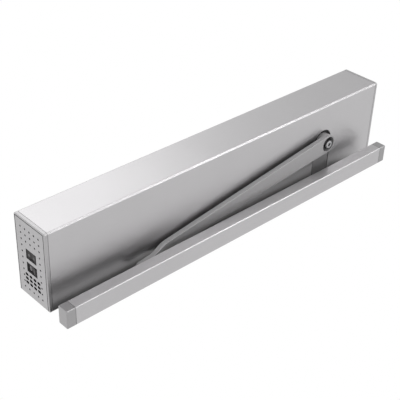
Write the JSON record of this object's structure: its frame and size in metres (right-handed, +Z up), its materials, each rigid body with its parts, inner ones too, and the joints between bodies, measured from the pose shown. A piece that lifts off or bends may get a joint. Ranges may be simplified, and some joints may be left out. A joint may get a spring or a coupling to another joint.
{
  "type": "swing door operator",
  "caption": "Slim surface-mounted swing door operator with a cam-and-gear drive, a cranked arm and a slide rail for the door leaf.",
  "frame": {"origin": "centre of the wall fixing pattern, in the plane of the wall", "axes": "+X along the housing towards the spindle end, +Y into the wall, +Z up"},
  "size_m": [0.6865, 0.13, 0.113],
  "materials": {
    "satin_aluminium": "fine satin, clear anodised",
    "cap_aluminium": "bead-blasted, clear anodised",
    "rail_aluminium": "fine satin, clear anodised",
    "rail_cap": "bead-blasted, clear anodised",
    "arm_aluminium": "satin, clear anodised",
    "grey_insert": "matt grey",
    "cast_aluminium": "as cast, blasted",
    "case_enamel": "dark grey enamel",
    "zinc_steel": "zinc plated",
    "black_screws": "black oxide",
    "bright_screw": "stainless, turned",
    "bearing_steel": "ground",
    "ground_steel": "ground and oiled",
    "gear_steel": "machined and oiled",
    "carriage_iron": "machined",
    "spring_steel": "oil tempered",
    "motor_steel": "satin",
    "bush_bronze": "machined",
    "black_plastic": "fine texture",
    "rocker_plastic": "semi-gloss",
    "grey_nylon": "matt",
    "black_rubber": "matt",
    "circuit_board": "solder mask",
    "terminal_plastic": "matt",
    "capacitor_sleeve": "shrink sleeve",
    "display_plastic": "gloss",
    "black_heat_sink": "black anodised",
    "lacquered_core": "lacquered"
  },
  "bodies": {
    "housing": {"mounting_plate": "zinc_steel", "cover": "satin_aluminium", "notch_insert": "grey_insert", "end_cap_left": "cap_aluminium", "end_cap_right": "cap_aluminium", "gear_case": "case_enamel", "gear_case_lid": "case_enamel", "lid_screws": "black_screws", "case_screws": "black_screws", "inner_screws": "zinc_steel", "spindle_bearings": "bearing_steel", "intermediate_bushes": "bush_bronze", "motor_gearhead": "motor_steel", "motor_body": "motor_steel", "motor_end_bell": "black_plastic", "encoder_cap": "black_plastic", "motor_screws": "black_screws", "closing_spring": "spring_steel", "spring_tube": "zinc_steel", "tension_screw": "black_screws", "tension_seat": "carriage_iron", "guide_bush": "bush_bronze", "program_switch_body": "black_plastic", "mains_switch_body": "black_plastic", "switch_bracket": "zinc_steel", "control_tray": "black_plastic", "control_board": "circuit_board", "terminal_blocks": "terminal_plastic", "capacitors": "capacitor_sleeve", "digit_display": "display_plastic", "heat_sink": "black_heat_sink", "power_supply_base": "zinc_steel", "power_supply_cover": "zinc_steel", "power_transformer": "lacquered_core", "mains_terminal": "terminal_plastic", "cable_clamp": "black_plastic", "earth_stud": "bush_bronze"},
    "arm_and_spindle": {"spindle": "ground_steel", "spindle_keys": "ground_steel", "spindle_gear": "gear_steel", "cam_disc": "gear_steel", "arm": "arm_aluminium", "arm_washer": "black_screws", "arm_screw": "bright_screw", "slide_pin": "ground_steel"},
    "intermediate_gears": {"intermediate_shaft": "gear_steel", "reduction_gear": "gear_steel"},
    "motor_drive": {"motor_pinion": "gear_steel"},
    "carriage": {"spring_carriage": "carriage_iron", "roller_pin": "ground_steel", "spring_plate": "carriage_iron"},
    "roller": {"cam_roller": "ground_steel"},
    "slider": {"slide_block": "grey_nylon"},
    "rail": {"slide_rail": "rail_aluminium", "rail_end_blocks": "cast_aluminium", "rail_end_cap_left": "rail_cap", "rail_end_cap_right": "rail_cap", "rail_buffers": "black_rubber"},
    "program_rocker": {"program_switch_rocker": "rocker_plastic"},
    "mains_rocker": {"mains_switch_rocker": "rocker_plastic"}
  },
  "joints": [
    {"name": "arm_swing", "type": "hinge", "parent": "housing", "child": "arm_and_spindle", "pos_m": [0.2095, -0.0645, 0], "axis": [0, 0, 1], "range_deg": [0, 110], "stiffness_Nm_per_rad": 6, "springref_deg": -171.89},
    {"name": "intermediate_spin", "type": "hinge", "parent": "housing", "child": "intermediate_gears", "pos_m": [0.15427, -0.08795, 0], "axis": [0, 0, 1], "range_deg": [-362, 0]},
    {"name": "motor_spin", "type": "hinge", "parent": "housing", "child": "motor_drive", "pos_m": [0.11699, -0.10378, 0], "axis": [0, 0, 1], "range_deg": [0, 1141]},
    {"name": "carriage_travel", "type": "slide", "parent": "housing", "child": "carriage", "axis": [-1, 0, 0], "range_m": [0, 0.0193], "deforming": ["closing_spring"]},
    {"name": "roller_spin", "type": "hinge", "parent": "carriage", "child": "roller", "pos_m": [0.1815, -0.0645, -0.0145], "axis": [0, 0, 1], "range_deg": [-408, 0]},
    {"name": "slider_pivot", "type": "hinge", "parent": "arm_and_spindle", "child": "slider", "pos_m": [-0.19549, -0.015, -0.066], "axis": [0, 0, 1], "range_deg": [-100, 100]},
    {"name": "rail_slide", "type": "slide", "parent": "slider", "child": "rail", "axis": [1, 0, 0], "range_m": [-0.472, 0.094]},
    {"name": "program_rocker_tilt", "type": "hinge", "parent": "housing", "child": "program_rocker", "pos_m": [-0.3378, -0.075, 0], "axis": [0, 1, 0], "range_deg": [-8, 8]},
    {"name": "mains_rocker_tilt", "type": "hinge", "parent": "housing", "child": "mains_rocker", "pos_m": [-0.3378, -0.053, 0], "axis": [0, 1, 0], "range_deg": [-16, 0]}
  ],
  "couplings": [
    {"joint": "intermediate_spin", "follows": "arm_swing", "ratio": -3.2857},
    {"joint": "motor_spin", "follows": "arm_swing", "ratio": 10.363},
    {"joint": "carriage_travel", "follows": "arm_swing", "m_per_rad": 0.01},
    {"joint": "roller_spin", "follows": "arm_swing", "ratio": -3.7}
  ]
}
